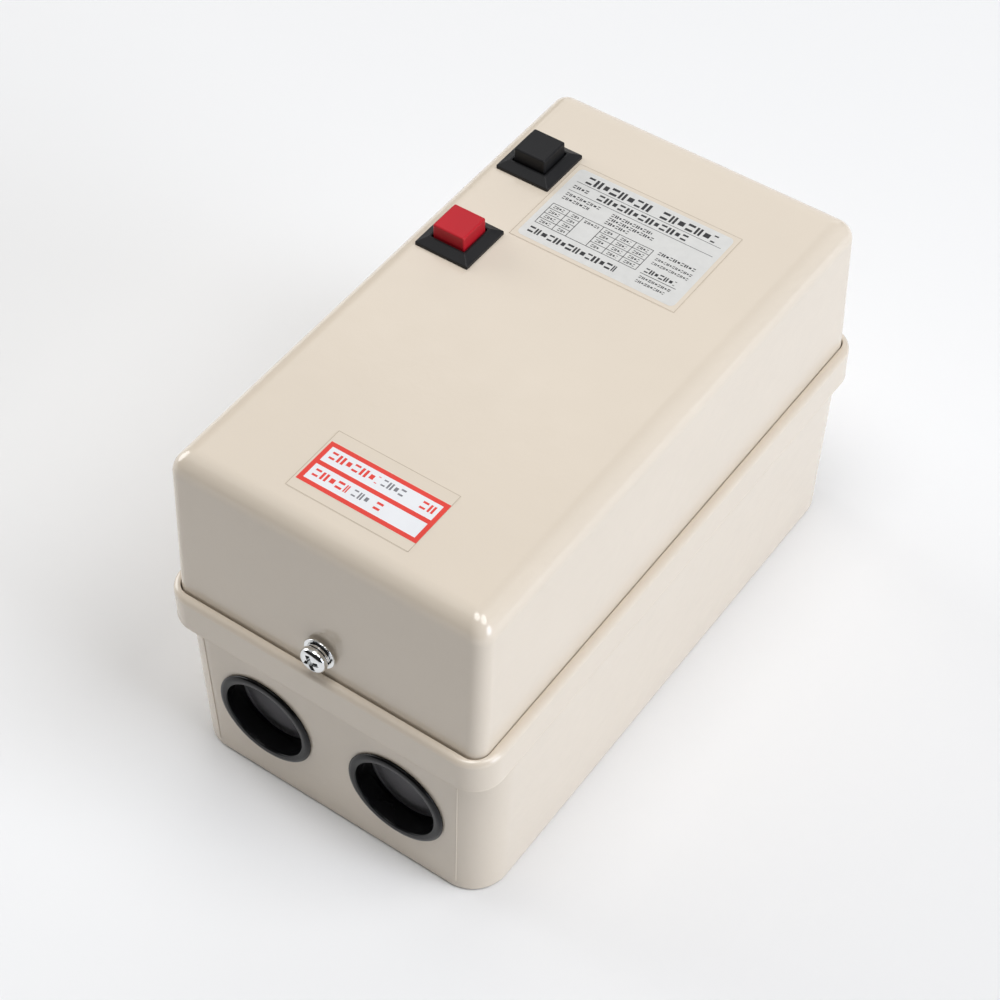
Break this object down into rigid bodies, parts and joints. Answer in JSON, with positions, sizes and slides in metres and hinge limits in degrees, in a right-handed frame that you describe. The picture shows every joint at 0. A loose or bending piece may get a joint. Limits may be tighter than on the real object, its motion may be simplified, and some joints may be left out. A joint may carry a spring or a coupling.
{
  "type": "enclosed magnetic motor starter",
  "caption": "Surface-mounted motor starter: a moulded box with a screwed cover, push-buttons and cable plugs, with a contactor and an overload relay inside.",
  "frame": {"origin": "centre of the mounting face of the base, on the wall's surface", "axes": "+X across the box to the right, +Y along it to its upper end, +Z out of the wall to the cover"},
  "size_m": [0.1046, 0.1888, 0.1211],
  "materials": {
    "enclosure": "pale beige moulded plastic, glossy",
    "rubber": "black rubber, glossy where it is moulded",
    "zinc": "bright zinc-plated steel",
    "label": "printed film",
    "black_plastic": "black plastic, satin",
    "red_plastic": "red plastic",
    "spring_steel": "drawn spring wire",
    "brass": "plain brass",
    "dark_housing": "dark moulded phenolic",
    "pale_housing": "pale moulded plastic",
    "iron": "stacked steel sheets",
    "bobbin": "cream moulded plastic",
    "winding": "enamelled wire under tape",
    "silver": "plated copper alloy",
    "wire": "yellow insulation"
  },
  "bodies": {
    "enclosure": {"base": "enclosure", "left_cable_plug": "rubber", "right_cable_plug": "rubber", "catch_tab": "zinc", "catch_tab_screw": "zinc", "contactor_lower_housing": "dark_housing", "contactor_upper_housing": "pale_housing", "fixed_core": "iron", "coil_bobbin": "bobbin", "coil_winding": "winding", "armature_return_spring": "spring_steel", "load_terminal_1": "brass", "load_terminal_2": "brass", "load_terminal_3": "brass", "line_terminal_1": "brass", "line_terminal_2": "brass", "line_terminal_3": "brass", "load_screw_1": "zinc", "load_screw_2": "zinc", "load_screw_3": "zinc", "line_screw_1": "zinc", "line_screw_2": "zinc", "line_screw_3": "zinc", "relay_screw_1": "zinc", "relay_screw_2": "zinc", "relay_screw_3": "zinc", "relay_heater_1": "brass", "relay_heater_2": "brass", "relay_heater_3": "brass", "relay_housing": "dark_housing", "relay_lid": "pale_housing", "switch_bracket": "zinc", "start_switch_block": "dark_housing", "stop_switch_block": "dark_housing", "coil_wire": "wire"},
    "cover": {"cover": "enclosure", "name_plate": "label", "rating_label": "label", "start_bezel": "black_plastic", "stop_bezel": "black_plastic", "start_spring": "spring_steel", "stop_spring": "spring_steel", "start_spring_plate": "black_plastic", "stop_spring_plate": "black_plastic"},
    "start_button": {"start_button": "black_plastic"},
    "stop_button": {"stop_button": "red_plastic"},
    "cover_screw": {"cover_screw": "zinc", "cover_screw_spring_washer": "zinc", "cover_screw_flat_washer": "zinc"},
    "cover_nut": {"cover_screw_nut": "brass"},
    "start_plunger": {"start_switch_plunger": "bobbin"},
    "stop_plunger": {"stop_switch_plunger": "bobbin"},
    "armature": {"moving_core": "iron", "contact_carrier": "dark_housing", "moving_contact_1": "silver", "moving_contact_2": "silver", "moving_contact_3": "silver"},
    "reset": {"reset_button": "red_plastic"},
    "dial": {"current_dial": "label"},
    "trip": {"trip_bar": "bobbin"}
  },
  "joints": [
    {"name": "cover_swing", "type": "hinge", "parent": "enclosure", "child": "cover", "pos_m": [0, 0.0913, 0.0655], "axis": [-1, 0, 0], "range_deg": [0, 80]},
    {"name": "start_press", "type": "slide", "parent": "cover", "child": "start_button", "axis": [0, 0, -1], "range_m": [0, 0.004], "stiffness_N_per_m": 500, "springref_m": -0.004, "deforming": ["start_spring"]},
    {"name": "stop_press", "type": "slide", "parent": "cover", "child": "stop_button", "axis": [0, 0, -1], "range_m": [0, 0.004], "stiffness_N_per_m": 500, "springref_m": -0.004, "deforming": ["stop_spring"]},
    {"name": "start_plunger_press", "type": "slide", "parent": "enclosure", "child": "start_plunger", "axis": [0, 0, -1], "range_m": [0, 0.004], "stiffness_N_per_m": 100, "springref_m": -0.004},
    {"name": "stop_plunger_press", "type": "slide", "parent": "enclosure", "child": "stop_plunger", "axis": [0, 0, -1], "range_m": [0, 0.004], "stiffness_N_per_m": 100, "springref_m": -0.004},
    {"name": "cover_screw_turn", "type": "hinge", "parent": "cover", "child": "cover_screw", "pos_m": [0, -0.0908, 0.0739], "axis": [0, -1, 0], "range_deg": [0, 1080]},
    {"name": "cover_nut_travel", "type": "slide", "parent": "cover", "child": "cover_nut", "axis": [0, 1, 0], "range_m": [0, 0.0021]},
    {"name": "armature_pull_in", "type": "slide", "parent": "enclosure", "child": "armature", "axis": [0, 0, -1], "range_m": [0, 0.0045], "stiffness_N_per_m": 400, "springref_m": -0.008, "deforming": ["armature_return_spring"]},
    {"name": "reset_press", "type": "slide", "parent": "enclosure", "child": "reset", "axis": [0, 0, -1], "range_m": [0, 0.0025], "stiffness_N_per_m": 400, "springref_m": -0.003},
    {"name": "dial_turn", "type": "hinge", "parent": "enclosure", "child": "dial", "pos_m": [0.004, -0.0235, 0.0655], "axis": [0, 0, 1], "range_deg": [-135, 135]},
    {"name": "trip_slide", "type": "slide", "parent": "enclosure", "child": "trip", "axis": [0, -1, 0], "range_m": [0, 0.002], "stiffness_N_per_m": 100, "springref_m": -0.003}
  ],
  "couplings": [
    {"joint": "start_plunger_press", "follows": "start_press", "ratio": 1},
    {"joint": "stop_plunger_press", "follows": "stop_press", "ratio": 1},
    {"joint": "cover_screw_turn", "follows": "cover_nut_travel", "rad_per_m": 8976}
  ]
}
